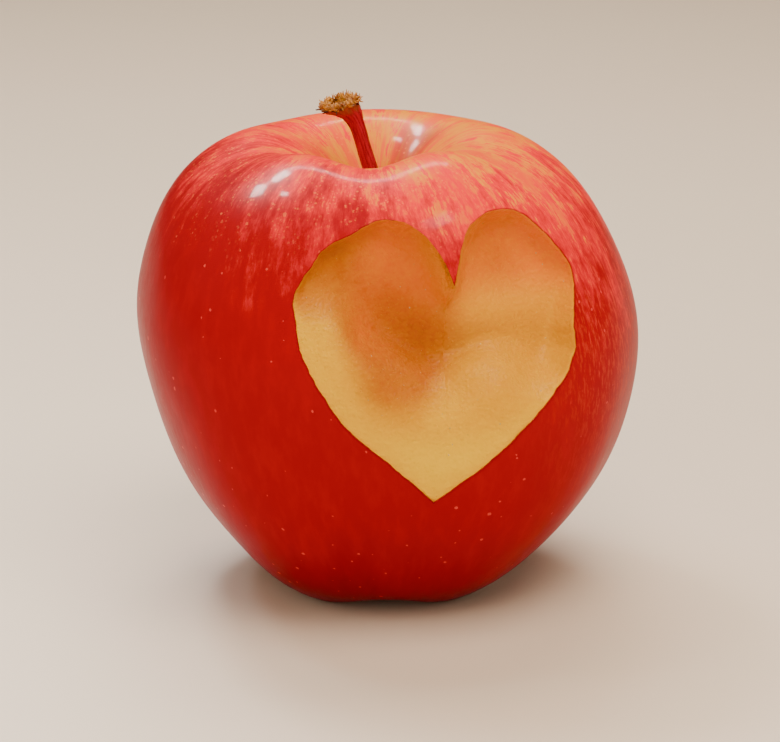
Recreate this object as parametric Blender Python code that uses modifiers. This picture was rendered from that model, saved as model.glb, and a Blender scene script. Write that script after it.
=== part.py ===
"""An apple with a heart cut through its skin into the flesh: fruit, stem and dried calyx.

Metres, +Z up.  The apple stands on z = 0 on the five low swellings round its base, the heart
faces -Y, and the origin is under the middle of the apple.  Angles round the core are measured
from -Y towards +X.
"""
import bpy
import bmesh
from math import atan2, cos, exp, hypot, pi, radians, sin
from mathutils import Matrix, Vector

MM = 0.001

# ---- the fruit, driving dimensions ----
FRUIT_STEPS = 60                 # facets round the core
PROFILE_STEPS = 2                # points on each stretch of the outline
WAIST_HEIGHT = 40 * MM           # the widest level, and the pivot of the lean
LOBES = 5                        # an apple swells over its five seed chambers
VALLEY_ANGLE = radians(12)       # the valley nearest the front lies this far towards -X
CROWN_WAVE = 0.8 * MM            # swellings round the rim of the stem hollow
CROWN_START = 50 * MM            # they begin at this height
CROWN_RISE = 18 * MM             # and are full this much higher
BACK_RISE = 0.6 * MM             # behind, the rim is even and stands this much higher
HOLLOW_RADIUS = 6 * MM           # and fade out inside this distance from the core
FOOT_WAVE = 0.8 * MM             # swellings that the apple stands on
FOOT_RADIUS = 12 * MM            # ring of those swellings
FOOT_SPREAD = 6.5 * MM
SIDE_WAVE = 0.012                # swelling of the sides, as a share of the radius
LOW_SIDE_WAVE = 0.016            # added to it towards the base
LEAN = 0.094                     # the core tips towards -X as it rises
SWAY = 4.0 * MM                  # and comes back under the fruit towards the base
SHOULDER_TILT = 0.022            # the shoulder on +X stands a little higher
SHOULDER_RISE = 30 * MM

# Outline from the bottom of the stem hollow, over the shoulder and down to the calyx basin:
# distance from the core and height.
FRUIT_OUTLINE = [(0.0, 58.0), (2.6, 59.1), (5.6, 62.3), (10.2, 66.5), (15.7, 68.8), (22.3, 67.5),
                 (29.8, 61.9), (35.3, 52.1), (37.9, 41.6), (36.8, 29.8), (32.4, 17.3),
                 (25.3, 7.6), (18.8, 2.0), (14.3, 0.3), (11.0, 0.2), (8.3, 1.7), (6.0, 4.3),
                 (3.2, 7.1), (0.0, 7.9)]

# ---- the heart-shaped cut ----
CUT_TILT = radians(12)           # the knife went in from a little above level
CUT_HEIGHT = 40 * MM             # middle of the heart, measured up the cut's own face
CUT_REACH = 39 * MM              # middle of the cutter, measured out from the core
CUT_HALF_LENGTH = 21 * MM
SCOOP_RADIUS = 250 * MM          # the floor is hollowed like a very shallow dish
SCOOP_FLOOR = 35.6 * MM          # distance from the core to the bottom of that dish
SCOOP_TURN = radians(5.5)        # and the dish is turned a little towards +X
SCOOP_STEPS = 96
HEART_STEPS = 3
# Each side of the heart from the notch to the tip: across and up, from the middle of the cut.
HEART_LEFT = [(2.5, 6.6), (1.2, 11.4), (0.2, 14.1), (-2.0, 15.5), (-7.0, 16.3), (-14.7, 12.6),
              (-19.4, 6.8), (-19.4, 0.4), (-15.8, -9.0), (-8.7, -17.0), (-0.5, -24.5)]
HEART_RIGHT = [(2.5, 6.6), (3.8, 11.0), (5.0, 13.9), (7.4, 15.9), (11.3, 16.8), (17.2, 13.8),
               (21.6, 8.0), (21.2, -1.5), (18.0, -8.5), (9.5, -17.2), (-0.5, -24.5)]

# ---- the stem ----
STEM_PATH = [(-1.5, 0.3, 59.0), (-1.8, 0.4, 61.5), (-2.5, 0.5, 64.5), (-3.9, 0.8, 69.1),
             (-4.9, 1.0, 72.4), (-6.2, 1.3, 74.2)]
STEM_RADII = [1.45, 1.15, 1.1, 1.1, 1.25, 1.5]
KNOB_CENTRE = (-6.6, 1.4, 74.3)
KNOB_HALF_SIZE = (3.0, 2.3, 1.45)
KNOB_TILT = radians(20)          # the knob climbs towards -X
KNOB_ROUGHNESS = 0.09            # share of its size
STEM_STEPS = 2

# ---- the dried calyx in the basin ----
SEPALS = 5
CALYX_STEPS = 60
CALYX_RINGS = 5
CALYX_TOP = 7.3 * MM
SEPAL_REACH = 4.6 * MM
SEPAL_DROP = 4.3 * MM
SEPAL_WAIST = 0.42               # depth of the notches between sepals, as a share of the reach
SEPAL_THICKNESS = 0.5 * MM

JOIN = 0.00001


def material(name, colour, roughness):
    surface = bpy.data.materials.new(name)
    surface.use_nodes = True
    shader = surface.node_tree.nodes["Principled BSDF"]
    shader.inputs["Base Color"].default_value = (*colour, 1.0)
    shader.inputs["Roughness"].default_value = roughness
    surface.diffuse_color = (*colour, 1.0)
    return surface


def add_object(name, mesh, collection, surface=None):
    obj = bpy.data.objects.new(name, mesh)
    collection.objects.link(obj)
    if surface:
        mesh.materials.append(surface)
    return obj


def evaluated_mesh(obj):
    """The object's mesh with its modifiers applied, welded where ends meet."""
    graph = bpy.context.evaluated_depsgraph_get()
    mesh = bpy.data.meshes.new_from_object(obj.evaluated_get(graph))
    cage = bmesh.new()
    cage.from_mesh(mesh)
    bmesh.ops.remove_doubles(cage, verts=cage.verts, dist=JOIN)
    cage.to_mesh(mesh)
    cage.free()
    return mesh


def smooth_line(points, steps):
    """A curve through the points, with this many steps on each stretch between two of them."""
    line = []
    for index in range(1, len(points) - 2):
        before, start, end, after = points[index - 1:index + 3]
        for step in range(steps):
            t = step / steps
            pull_out = (end - before) / 2
            pull_in = (after - start) / 2
            line.append(start * (2 * t**3 - 3 * t**2 + 1) + pull_out * (t**3 - 2 * t**2 + t)
                        + end * (3 * t**2 - 2 * t**3) + pull_in * (t**3 - t**2))
    line.append(points[-2].copy())
    return line


def turned_mesh(name, outline, steps):
    """The outline, a list of distances and heights, turned once round Z."""
    mesh = bpy.data.meshes.new(name)
    mesh.from_pydata([(point.x, 0, point.y) for point in outline],
                     [(i, i + 1) for i in range(len(outline) - 1)], [])
    profile = add_object(name, mesh, bpy.context.scene.collection)
    turn = profile.modifiers.new("Turn", "SCREW")
    turn.axis = "Z"
    turn.steps = steps
    turn.render_steps = steps
    turn.use_merge_vertices = True
    turn.merge_threshold = JOIN
    result = evaluated_mesh(profile)
    bpy.data.objects.remove(profile)
    return result


def fruit_point(radius, height, angle):
    """Where a point of the round outline lies on the lobed, leaning fruit."""
    lobe = -cos(LOBES * (angle + VALLEY_ANGLE))
    crown = max(0.0, (height - CROWN_START) / CROWN_RISE) ** 1.5 * min(1.0, radius / HOLLOW_RADIUS)
    foot = exp(-((radius - FOOT_RADIUS) / FOOT_SPREAD) ** 2) if height < WAIST_HEIGHT / 2 else 0.0
    below = max(0.0, 1 - height / WAIST_HEIGHT)
    above = max(0.0, (height - WAIST_HEIGHT) / SHOULDER_RISE)
    side = (SIDE_WAVE + LOW_SIDE_WAVE * below) * min(1.0, radius / FOOT_RADIUS)
    radius *= 1 + side * lobe
    front = 0.5 + 0.5 * cos(angle + VALLEY_ANGLE)
    height += crown * (CROWN_WAVE * lobe * front + BACK_RISE * (1 - front)) - FOOT_WAVE * foot * lobe
    x = radius * sin(angle) + LEAN * (WAIST_HEIGHT - height) - SWAY * below ** 2
    y = -radius * cos(angle)
    return Vector((x, y, max(0.0, height + SHOULDER_TILT * x * above)))


def fruit_mesh(name):
    points = [Vector(point) * MM for point in FRUIT_OUTLINE]
    across_core = Vector((-1, 1))
    points = [points[1] * across_core] + points + [points[-2] * across_core]
    mesh = turned_mesh(name, smooth_line(points, PROFILE_STEPS), FRUIT_STEPS)
    for vertex in mesh.vertices:
        x, y, height = vertex.co
        vertex.co = fruit_point(hypot(x, y), height, atan2(x, -y))
    mesh.shade_smooth()
    return mesh


def heart_outline():
    """The closed outline of the heart, sharp at its notch and at its tip."""
    outline = []
    for side, backwards in ((HEART_LEFT, False), (HEART_RIGHT, True)):
        points = [Vector(point) * MM for point in side]
        points = [points[0] * 2 - points[1]] + points + [points[-1] * 2 - points[-2]]
        line = smooth_line(points, HEART_STEPS)
        if backwards:
            line.reverse()
        outline += line[:-1]
    return outline


def make_heart_cutter(collection, flesh):
    """A heart-shaped bar aimed at the core, its inner end rounded off to the floor of the cut."""
    curve = bpy.data.curves.new("heart_outline", "CURVE")
    curve.dimensions = "2D"
    curve.fill_mode = "BOTH"
    curve.extrude = CUT_HALF_LENGTH
    outline = heart_outline()
    spline = curve.splines.new("POLY")
    spline.points.add(len(outline) - 1)
    for place, point in zip(spline.points, outline):
        place.co = (point.x, point.y, 0, 1)
    spline.use_cyclic_u = True
    drawn = add_object("heart_outline", curve, collection)
    bar = add_object("heart_cutter", evaluated_mesh(drawn), collection, flesh)
    bpy.data.objects.remove(drawn)
    across_knife = Vector((0, sin(CUT_TILT), cos(CUT_TILT)))
    along_knife = Vector((0, -cos(CUT_TILT), sin(CUT_TILT)))
    bar.location = across_knife * CUT_HEIGHT + along_knife * CUT_REACH
    bar.rotation_euler.x = pi / 2 - CUT_TILT

    cage = bmesh.new()
    bmesh.ops.create_uvsphere(cage, u_segments=SCOOP_STEPS, v_segments=SCOOP_STEPS // 2,
                              radius=SCOOP_RADIUS)
    mesh = bpy.data.meshes.new("scoop")
    cage.to_mesh(mesh)
    cage.free()
    scoop = add_object("scoop", mesh, collection, flesh)
    aim = Matrix.Rotation(SCOOP_TURN, 3, "Z") @ along_knife
    scoop.location = across_knife * CUT_HEIGHT + aim * (SCOOP_FLOOR + SCOOP_RADIUS)
    combine(bar, scoop, "INTERSECT")
    for cutter in (bar, scoop):
        cutter.hide_render = True
        cutter.display_type = "WIRE"
    return bar


def combine(obj, other, operation):
    joint = obj.modifiers.new(operation.title(), "BOOLEAN")
    joint.operation = operation
    joint.solver = "EXACT"
    joint.material_mode = "TRANSFER"
    joint.object = other


def make_stem(collection, cutters, bark):
    """A round stalk bent to -X, with the rough knob it broke off the twig with."""
    path = [Vector(point) * MM for point in STEM_PATH]
    path = [path[0] * 2 - path[1]] + path + [path[-1] * 2 - path[-2]]
    radii = [Vector((radius, 0)) * MM for radius in STEM_RADII]
    radii = [radii[0]] + radii + [radii[-1]]
    line = smooth_line(path, STEM_STEPS)
    curve = bpy.data.curves.new("stalk", "CURVE")
    curve.dimensions = "3D"
    curve.bevel_depth = 1.0
    curve.bevel_resolution = 2
    curve.use_fill_caps = True
    spline = curve.splines.new("POLY")
    spline.points.add(len(line) - 1)
    for place, point, radius in zip(spline.points, line, smooth_line(radii, STEM_STEPS)):
        place.co = (*point, 1)
        place.radius = radius.x
    drawn = add_object("stalk", curve, collection)
    stem = add_object("stem", evaluated_mesh(drawn), collection, bark)
    bpy.data.objects.remove(drawn)

    cage = bmesh.new()
    bmesh.ops.create_uvsphere(cage, u_segments=16, v_segments=10, radius=1.0)
    for vertex in cage.verts:
        x, y, z = vertex.co
        vertex.co *= 1 + KNOB_ROUGHNESS * (sin(5 * x + 2 * z) + cos(4 * y - 5 * z))
    bmesh.ops.scale(cage, vec=Vector(KNOB_HALF_SIZE) * MM, verts=cage.verts)
    mesh = bpy.data.meshes.new("knob")
    cage.to_mesh(mesh)
    cage.free()
    mesh.transform(Matrix.Translation(Vector(KNOB_CENTRE) * MM) @ Matrix.Rotation(KNOB_TILT, 4, "Y"))
    knob = add_object("knob", mesh, cutters, bark)
    knob.hide_render = True
    knob.display_type = "WIRE"
    combine(stem, knob, "UNION")
    return stem


def make_calyx(collection, husk):
    """The five withered sepals: one crown that hangs in the basin, its points spread out."""
    disc = [Vector((1 - ring / CALYX_RINGS, 0)) for ring in range(CALYX_RINGS, -1, -1)]
    mesh = turned_mesh("calyx", disc, CALYX_STEPS)
    for vertex in mesh.vertices:
        x, y, _ = vertex.co
        share = hypot(x, y)
        angle = atan2(x, -y)
        point = abs(cos(SEPALS * angle / 2)) ** 0.8
        reach = SEPAL_REACH * (1 - SEPAL_WAIST * share * (1 - point))
        drop = SEPAL_DROP * share ** 2 * (0.45 + 0.55 * point)
        vertex.co = (reach * share * sin(angle), -reach * share * cos(angle), CALYX_TOP - drop)
    mesh.shade_smooth()
    calyx = add_object("calyx", mesh, collection, husk)
    shell = calyx.modifiers.new("Thickness", "SOLIDIFY")
    shell.thickness = SEPAL_THICKNESS
    shell.offset = -1
    return calyx


def main():
    for obj in list(bpy.data.objects):
        bpy.data.objects.remove(obj)
    apple = bpy.data.collections.new("apple")
    cutters = bpy.data.collections.new("cutters")
    bpy.context.scene.collection.children.link(apple)
    bpy.context.scene.collection.children.link(cutters)

    skin = material("skin", (0.45, 0.012, 0.012), 0.3)
    flesh = material("flesh", (0.80, 0.52, 0.14), 0.5)
    bark = material("bark", (0.20, 0.05, 0.02), 0.7)
    husk = material("husk", (0.14, 0.08, 0.035), 0.85)

    fruit = add_object("fruit", fruit_mesh("fruit"), apple, skin)
    fruit.data.materials.append(flesh)
    combine(fruit, make_heart_cutter(cutters, flesh), "DIFFERENCE")
    stem = make_stem(apple, cutters, bark)
    calyx = make_calyx(apple, husk)

    cut_fruit = evaluated_mesh(fruit)
    xs = [vertex.co.x for vertex in cut_fruit.vertices]
    ys = [vertex.co.y for vertex in cut_fruit.vertices]
    bpy.data.meshes.remove(cut_fruit)
    middle = bpy.data.objects.new("apple_middle", None)
    middle.location = (-(min(xs) + max(xs)) / 2, -(min(ys) + max(ys)) / 2, 0)
    apple.objects.link(middle)
    for obj in (fruit, stem, calyx, *cutters.objects):
        obj.parent = middle


main()
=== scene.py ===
import math

import bmesh
import bpy
import numpy as np
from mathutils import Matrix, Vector, noise


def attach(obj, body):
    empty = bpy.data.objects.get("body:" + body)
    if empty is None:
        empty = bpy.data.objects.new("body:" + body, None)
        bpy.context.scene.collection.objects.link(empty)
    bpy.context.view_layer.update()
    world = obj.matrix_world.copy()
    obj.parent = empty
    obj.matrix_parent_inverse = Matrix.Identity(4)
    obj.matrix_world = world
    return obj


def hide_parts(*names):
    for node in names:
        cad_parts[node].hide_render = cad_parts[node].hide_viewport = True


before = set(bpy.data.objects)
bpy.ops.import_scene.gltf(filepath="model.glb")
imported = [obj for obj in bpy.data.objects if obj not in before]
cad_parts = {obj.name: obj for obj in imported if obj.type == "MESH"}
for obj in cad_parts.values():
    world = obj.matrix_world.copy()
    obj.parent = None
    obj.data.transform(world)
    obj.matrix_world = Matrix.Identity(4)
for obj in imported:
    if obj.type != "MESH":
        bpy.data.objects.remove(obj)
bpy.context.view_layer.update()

mm = 0.001


def smoothStep(low, high, value):
    t = np.clip((value - low) / (high - low), 0, 1)
    return t * t * (3 - 2 * t)


def softMin(a, b, rounding):
    # the smaller of two depths, with a fillet where they meet
    gap = np.maximum(rounding - np.abs(a - b), 0) / rounding
    return np.minimum(a, b) - gap * gap * rounding / 4


def smoothLine(points, count, firstSlope=None, lastSlope=None):
    # a curve of even curvature through the points, read off at equal steps
    points = np.array(points, float)
    gaps = np.linalg.norm(np.diff(points, axis=0), axis=1)[:, None]
    size = len(points)
    system = np.zeros((size, size))
    wanted = np.zeros_like(points)
    rise = np.diff(points, axis=0) / gaps
    for i in range(1, size - 1):
        system[i, i - 1:i + 2] = gaps[i, 0], 2 * (gaps[i - 1, 0] + gaps[i, 0]), gaps[i - 1, 0]
        wanted[i] = 3 * (gaps[i] * rise[i - 1] + gaps[i - 1] * rise[i])
    for end, neighbour, slope, step in ((0, 1, firstSlope, rise[0]), (-1, -2, lastSlope, rise[-1])):
        system[end, end] = 1 if slope else 2
        system[end, neighbour] = 0 if slope else 1
        wanted[end] = slope if slope else 3 * step
    slopes = np.linalg.solve(system, wanted)
    place = np.concatenate(([0], np.cumsum(gaps)))
    at = np.linspace(0, place[-1], count)
    span = np.clip(np.searchsorted(place, at, side="right") - 1, 0, size - 2)
    width = gaps[span]
    t = ((at - place[span])[:, None]) / width
    return (points[span] * (2 * t**3 - 3 * t**2 + 1) + slopes[span] * width * (t**3 - 2 * t**2 + t)
            + points[span + 1] * (3 * t**2 - 2 * t**3) + slopes[span + 1] * width * (t**3 - t**2))


def evenly(line, count):
    # the same line with its points equally far apart
    gone = np.concatenate(([0], np.cumsum(np.linalg.norm(np.diff(line, axis=0), axis=1))))
    at = np.linspace(0, gone[-1], count)
    return np.column_stack([np.interp(at, gone, line[:, axis]) for axis in range(line.shape[1])])


def roughness(points, size, seed=0.0, octaves=3):
    # smooth random values, about -1 to 1, with bumps of this size
    return np.array([noise.fractal(Vector(p) / size + Vector((seed, seed, seed)), 1.0, 2.0, octaves)
                     for p in points])


def addObject(name, data):
    made = bpy.data.objects.new(name, data)
    bpy.context.scene.collection.objects.link(made)
    return made


def lookFrom(azimuth, elevation):
    # the way from the middle of the scene to a camera or lamp
    level = math.cos(elevation)
    return Vector((math.sin(azimuth) * level, -math.cos(azimuth) * level, math.sin(elevation)))


def aimAlong(made, way):
    made.rotation_mode = "QUATERNION"
    made.rotation_quaternion = way.to_track_quat("-Z", "Y")


def newPiece(name, vertices, faces, materials=(), faceSlots=None):
    mesh = bpy.data.meshes.new(name)
    mesh.from_pydata((np.asarray(vertices) * mm).tolist(), [], faces)
    for material in materials:
        mesh.materials.append(material)
    if faceSlots is not None:
        mesh.polygons.foreach_set("material_index", np.asarray(faceSlots, dtype=np.int32))
    mesh.shade_smooth()
    mesh.update()
    return addObject(name, mesh)


def faceOutwards(piece):
    cage = bmesh.new()
    cage.from_mesh(piece.data)
    bmesh.ops.remove_doubles(cage, verts=cage.verts, dist=1e-7)
    bmesh.ops.recalc_face_normals(cage, faces=cage.faces)
    cage.to_mesh(piece.data)
    cage.free()


def addAttribute(piece, name, kind, values):
    layer = piece.data.attributes.new(name, kind, "POINT")
    layer.data.foreach_set("vector" if kind == "FLOAT_VECTOR" else "value",
                           np.asarray(values, dtype=np.float32).ravel())


fruitForm = {
    # distance from the core and height in mm, from the stem hollow over the shoulder to the basin
    "outline": [(0.0, 58.0), (2.6, 59.1), (5.6, 62.3), (10.2, 66.5), (15.7, 68.8), (22.3, 67.5),
                (29.8, 61.9), (35.3, 52.1), (37.9, 41.6), (36.8, 29.8), (32.4, 17.3), (25.3, 7.6),
                (18.8, 2.0), (14.3, 0.3), (11.0, 0.2), (8.3, 1.7), (6.0, 4.3), (3.2, 7.1), (0.0, 7.9)],
    "waistHeight": 40.0,
    "lobes": 5,
    "valleyAngle": math.radians(12),
    "crownWave": 0.8,            # swellings round the rim of the stem hollow
    "crownStart": 50.0,          # the height where they begin
    "crownRise": 18.0,           # and how much higher they are full
    "hollowRadius": 6.0,         # inside it they fade out
    "backRise": 0.6,             # behind, the rim is even and higher
    "footWave": 0.8,             # swellings that the apple stands on
    "footRadius": 12.0,
    "footSpread": 6.5,
    "sideWave": 0.012,
    "lowSideWave": 0.016,
    "lean": 0.094,
    "sway": 4.0,
    "shoulderTilt": 0.022,
    "shoulderRise": 30.0,
    "unevenness": 0.16,          # slight dents and swellings of a grown thing
    "rows": 168,
    "columns": 240,
}

outlineLine = evenly(smoothLine(fruitForm["outline"], 2400, (1, 0), (-1, 0)), 2400)
alongLine = np.linspace(0, 1, len(outlineLine))


def fruitSurface(along, angle):
    # along runs from 0 in the stem hollow to 1 in the basin, angle from -Y towards +X
    form = fruitForm
    radius = np.interp(along, alongLine, outlineLine[:, 0])
    height = np.interp(along, alongLine, outlineLine[:, 1])
    lobe = -np.cos(form["lobes"] * (angle + form["valleyAngle"]))
    crown = np.maximum(0, (height - form["crownStart"]) / form["crownRise"]) ** 1.5
    crown = crown * np.minimum(1, radius / form["hollowRadius"])
    foot = np.exp(-((radius - form["footRadius"]) / form["footSpread"]) ** 2) * (height < 20)
    below = np.maximum(0, 1 - height / form["waistHeight"])
    above = np.maximum(0, (height - form["waistHeight"]) / form["shoulderRise"])
    inner = np.minimum(1, radius / form["footRadius"])
    side = (form["sideWave"] + form["lowSideWave"] * below) * inner
    dents = (np.sin(3 * angle + 1.1 + 3 * along) + 0.6 * np.sin(7 * angle - 0.6 - 5 * along)
             + 0.5 * np.sin(11 * angle + 9 * along)) * np.sin(np.pi * along) ** 2
    radius = radius * (1 + side * lobe) + form["unevenness"] * dents * inner
    front = 0.5 + 0.5 * np.cos(angle + form["valleyAngle"])
    crown = crown * (form["crownWave"] * lobe * front + form["backRise"] * (1 - front))
    height = height + crown - form["footWave"] * foot * lobe
    x = radius * np.sin(angle) + form["lean"] * (form["waistHeight"] - height) - form["sway"] * below**2
    y = -radius * np.cos(angle)
    z = height + form["shoulderTilt"] * x * above
    z = (z + np.sqrt(z * z + 0.02)) / 2          # the feet are pressed level
    return np.stack(np.broadcast_arrays(x, y, z), axis=-1)


cutForm = {
    "tilt": math.radians(12),
    "height": 40.0,
    # each side from the notch to the tip, across and up, mm from the middle of the cut
    "leftSide": [(2.5, 6.6), (1.8, 9.2), (1.2, 11.6), (0.6, 13.6), (-0.6, 14.9), (-3.4, 15.8),
                 (-7.0, 16.2), (-10.6, 14.6), (-14.7, 12.7), (-17.6, 9.4), (-19.6, 6.0), (-19.7, 3.2),
                 (-18.9, -2.6), (-16.4, -8.0), (-13.2, -12.8), (-8.4, -17.2), (-0.5, -24.5)],
    "rightSide": [(2.5, 6.6), (3.3, 9.2), (4.0, 11.6), (5.2, 14.2), (7.6, 16.0), (11.3, 16.8),
                  (14.4, 16.0), (17.2, 13.8), (19.6, 11.1), (21.8, 7.6), (21.7, 4.2), (21.1, 0.6),
                  (21.0, -3.4), (19.2, -7.2), (15.4, -11.4), (9.5, -17.0), (-0.5, -24.5)],
    "middle": (2.2, -3.0),
    "rings": 66,
    "ringsOutside": 16,
    "skin": 0.35,                # its thickness where it is cut
    "wallSlope": 2.4,
    "wedgeSlope": 3.0,           # the point of skin between the two halves of the heart
    "bandSlope": 0.30,           # the shallow band down the left side
    "bandWidth": 6.2,
    "wallFillet": 1.6,           # how widely a wall runs into the floor
    "bandFillet": 2.5,
    "scoopRadius": 250.0,
    "scoopFloor": 35.6,
    "scoopTurn": math.radians(5.5),
    # swellings of the even floor: rise, middle across and up, reach across and up
    "swellings": [(-1.2, -6.5, 0.5, 8, 9), (2.0, 9.0, 1.5, 6.5, 3.8), (-0.7, 13, 10.5, 6, 4),
                  (2.4, 3.0, 8.0, 6.5, 6.5)],
    "creaseMiddle": (14.5, -4.5),
    "creaseDepth": 0.16,
    "creaseWidth": 0.5,
    "creaseLength": 5,
    "knifeMarks": 0.10,          # low facets in the left wall
    "raggedness": 0.15,
    "smallDents": 0.05,
    "largeDents": 0.10,
    "softening": 14,
}


def toCut(points):
    # across, up and out, as the knife saw the apple
    s, c = math.sin(cutForm["tilt"]), math.cos(cutForm["tilt"])
    x, y, z = points[..., 0], points[..., 1], points[..., 2]
    return x, y * s + z * c - cutForm["height"], -y * c + z * s


def fromCut(across, up, out):
    s, c = math.sin(cutForm["tilt"]), math.cos(cutForm["tilt"])
    up = up + cutForm["height"]
    return np.stack((across, up * s - out * c, up * c + out * s), axis=-1)


def findOnFruit(across, up):
    # where the line of the knife through these points meets the skin
    alongs, angles = np.meshgrid(np.linspace(0.15, 0.85, 60), np.linspace(-1.1, 1.1, 60))
    u, v, _ = toCut(fruitSurface(alongs, angles))
    known = np.column_stack((u.ravel(), v.ravel()))
    along, angle = np.empty(len(across)), np.empty(len(across))
    for start in range(0, len(across), 500):
        part = slice(start, start + 500)
        far = ((known[None] - np.column_stack((across[part], up[part]))[:, None]) ** 2).sum(2)
        best = far.argmin(1)
        along[part], angle[part] = alongs.ravel()[best], angles.ravel()[best]
    step = 1e-4
    for _ in range(6):
        u, v, _ = toCut(fruitSurface(along, angle))
        u1, v1, _ = toCut(fruitSurface(along + step, angle))
        u2, v2, _ = toCut(fruitSurface(along, angle + step))
        a, b, c, d = (u1 - u) / step, (u2 - u) / step, (v1 - v) / step, (v2 - v) / step
        missU, missV = across - u, up - v
        scale = a * d - b * c
        along = along + (d * missU - b * missV) / scale
        angle = angle + (a * missV - c * missU) / scale
    return along, angle


def heartEdge(leftCount, rightCount):
    # the outline from the notch down the left side to the tip and up the right side again
    left = evenly(smoothLine(cutForm["leftSide"], 800), leftCount + 1)
    right = evenly(smoothLine(cutForm["rightSide"], 800), rightCount + 1)
    edge = np.concatenate((left[:-1], right[::-1][:-1]))
    turn = np.roll(edge, -1, 0) - np.roll(edge, 1, 0)
    outward = np.column_stack((-turn[:, 1], turn[:, 0]))
    outward /= np.linalg.norm(outward, axis=1)[:, None]
    corner = np.ones(len(edge))
    for tip in (0, leftCount):
        steps = np.abs((np.arange(len(edge)) - tip + len(edge) // 2) % len(edge) - len(edge) // 2)
        corner = np.minimum(corner, smoothStep(1, 7, steps))
    place = np.column_stack((edge, np.zeros(len(edge))))
    wander = roughness(place, 2.6, 4.0) + 0.6 * roughness(place, 0.9, 9.0)
    torn = 1 + 1.6 * np.exp(-((edge[:, 0] - 20) / 4) ** 2 - ((edge[:, 1] + 4) / 5) ** 2)
    return edge + outward * (cutForm["raggedness"] * wander * torn * corner)[:, None]


def cutDepth(across, up, skinOut, edge):
    # how far the cut face lies under the skin, for points inside the heart
    form = cutForm
    aimX = math.sin(form["scoopTurn"]) * math.cos(form["tilt"]) * (form["scoopFloor"] + form["scoopRadius"])
    aimW = math.sqrt((form["scoopFloor"] + form["scoopRadius"]) ** 2 - aimX ** 2)
    floor = aimW - np.sqrt(form["scoopRadius"] ** 2 - (across - aimX) ** 2 - up ** 2)
    for rise, middleAcross, middleUp, wide, high in form["swellings"]:
        floor += rise * np.exp(-((across - middleAcross) / wide) ** 2 - ((up - middleUp) / high) ** 2)
    creaseAcross, creaseUp = across - form["creaseMiddle"][0], up - form["creaseMiddle"][1]
    offCrease = (creaseAcross * 0.64 + creaseUp * -0.77) / form["creaseWidth"]
    downCrease = (creaseAcross + creaseUp) / form["creaseLength"]
    floor -= form["creaseDepth"] * np.exp(-offCrease ** 2) * np.exp(-downCrease ** 2)

    # the nearest edge, and what kind of wall it has: the wedge's, a shallow band's or the rest's
    leftCount = int(np.argmin(edge[:, 1]))
    shallowLeft = smoothStep(10, 1, edge[:, 1]) * (np.arange(len(edge)) < leftCount)
    shallowLow = smoothStep(-5, -13, edge[:, 1])
    shallowSide = np.maximum(shallowLeft, shallowLow)
    wedgeSide = smoothStep(5.0, 3.5, np.abs(edge[:, 0] - 2.6)) * smoothStep(0, 5, edge[:, 1])
    gap, band, wedge = np.empty((3, len(across)))
    points = np.column_stack((across, up))
    for start in range(0, len(points), 400):
        part = slice(start, start + 400)
        far = np.sqrt(((points[part][:, None] - edge[None]) ** 2).sum(2))
        nearLeft, nearRight = far[:, :leftCount + 1].min(1), far[:, leftCount:].min(1)
        rounding = 1.2 * nearLeft * nearRight / (nearLeft + nearRight + 1e-9)
        rounding = rounding * smoothStep(2, -6, up[part])
        gap[part] = (nearLeft + nearRight - np.sqrt((nearLeft - nearRight) ** 2 + rounding ** 2)) / 2
        near = np.exp((far.min(1)[:, None] - far) / 0.9)
        near /= near.sum(1)[:, None]
        band[part] = near @ shallowSide
        wedge[part] = near @ wedgeSide
    steep = (form["wallSlope"] * (1 - wedge) + form["wedgeSlope"] * wedge) * gap
    shallow = form["bandSlope"] * gap + 0.8 * np.maximum(0, gap - form["bandWidth"])
    edgeStep = form["skin"] * np.minimum(1, gap / 0.07)
    facets = form["knifeMarks"] * np.sin(across * 4.2 + 0.5 * np.sin(up))
    facets *= smoothStep(-17, -14.5, across) * smoothStep(-9.5, -12.5, across) * smoothStep(4, 8, up)
    under = skinOut - floor + facets
    depth = softMin(edgeStep + steep, under, form["wallFillet"]) * (1 - band)
    depth = depth + softMin(edgeStep + shallow, under, form["bandFillet"]) * band
    wall = np.where(gap < 1e-6, 0, edgeStep + steep)
    depth = np.where(gap < 1e-6, 0, depth)
    return np.maximum(depth, np.minimum(wall, form["skin"])), gap, band, wedge


def softenCut(depth, gap, size):
    # evens out the cut face ring by ring, away from its edge
    grid = depth[:-1].reshape(-1, size)
    ease = smoothStep(0.9, 2.2, gap[:-1]).reshape(-1, size) * 0.5
    for _ in range(cutForm["softening"]):
        beside = (np.roll(grid, 1, 1) + np.roll(grid, -1, 1)) / 2
        inner = np.vstack((grid[1:], np.full(size, grid[-1].mean())))
        outerRow = np.vstack((grid[:1], grid[:-1]))
        grid = grid + ease * ((beside + inner + outerRow) / 3 - grid)
    return np.append(grid.ravel(), grid[-1].mean())


def browningAndShade(across, up, gap, band, wedge):
    # browning and painted shade: the flesh is darkened most in the left half of the heart and at the top of
    # the right half, less on the pale band down the left side and by the wedge
    paleWidth = 5.6 + 0.15 * np.minimum(0, up)
    pale = band * smoothStep(paleWidth + 2.0, paleWidth - 2.0, gap) * smoothStep(6.5, 1.0, up)
    low = up - 0.7 * np.maximum(0, across + 3)
    left = smoothStep(6.5, -1.5, across) * smoothStep(-15.0, -7.5, low) * (1 - pale)
    right = smoothStep(-1.5, 6.0, across) * (0.55 * smoothStep(3.0, 9.0, up)
                                             + 0.38 * smoothStep(-15, -7, up))
    return (left + right) * (1 - 0.3 * wedge * smoothStep(2.6, 0.8, gap))


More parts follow.
